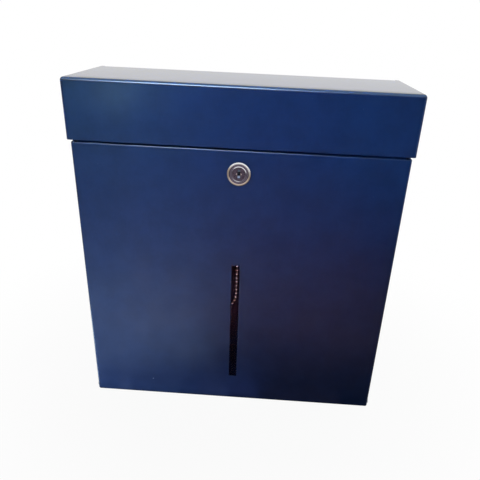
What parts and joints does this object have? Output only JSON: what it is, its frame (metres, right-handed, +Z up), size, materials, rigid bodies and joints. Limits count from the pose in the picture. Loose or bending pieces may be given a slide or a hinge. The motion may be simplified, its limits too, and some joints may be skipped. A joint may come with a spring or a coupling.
{
  "type": "drop box",
  "caption": "Folded sheet-steel drop box with a rear-hinged lid over its mouth and a bottom-hinged door with a cam lock and a narrow window, for a wall or a shelf.",
  "frame": {"origin": "on the base, midway between the sides and midway between the door's face and the back", "axes": "+X to the right seen from the front, +Y from the front to the back, +Z up"},
  "size_m": [0.3074, 0.111, 0.332],
  "materials": {
    "navy_paint": "gloss",
    "chrome_plate": "polished",
    "zinc_steel": "satin",
    "wafer_steel": "satin",
    "nickel_chain": "polished",
    "black_rubber": "matte",
    "white_nylon": "matte",
    "clear_acrylic": "gloss",
    "black_tape": "matte"
  },
  "bodies": {
    "casing": {"casing": "navy_paint", "floor_pan": "navy_paint", "front_rail": "navy_paint", "chute_plate": "navy_paint", "lid_bumpers": "black_rubber", "lid_pivot_pin_left": "zinc_steel", "lid_pivot_pin_right": "zinc_steel", "lid_pivot_spacers": "white_nylon", "lid_pin_clips": "zinc_steel", "door_hinge_pin_left": "zinc_steel", "door_hinge_pin_right": "zinc_steel", "door_hinge_washers": "white_nylon", "door_pin_clips": "zinc_steel"},
    "lid": {"lid_shell": "navy_paint"},
    "door": {"door_panel": "navy_paint", "window_pane": "clear_acrylic", "window_tape": "black_tape", "lock_housing": "chrome_plate", "lock_washer": "zinc_steel", "lock_nut": "zinc_steel", "chain_hook": "navy_paint", "ball_chain": "nickel_chain", "chain_coupling": "nickel_chain"},
    "lock_core": {"lock_plug": "chrome_plate", "lock_wafers": "wafer_steel", "lock_cam": "zinc_steel", "cam_washer": "zinc_steel", "cam_screw": "zinc_steel"}
  },
  "joints": [
    {"name": "lid_hinge", "type": "hinge", "parent": "casing", "child": "lid", "pos_m": [0, 0.04149, 0.324], "axis": [-1, 0, 0], "range_deg": [0, 75]},
    {"name": "door_hinge", "type": "hinge", "parent": "casing", "child": "door", "pos_m": [0, -0.048, 0.008], "axis": [1, 0, 0], "range_deg": [0, 90]},
    {"name": "lock_turn", "type": "hinge", "parent": "door", "child": "lock_core", "pos_m": [0, -0.0535, 0.2575], "axis": [0, 1, 0], "range_deg": [0, 90]}
  ]
}
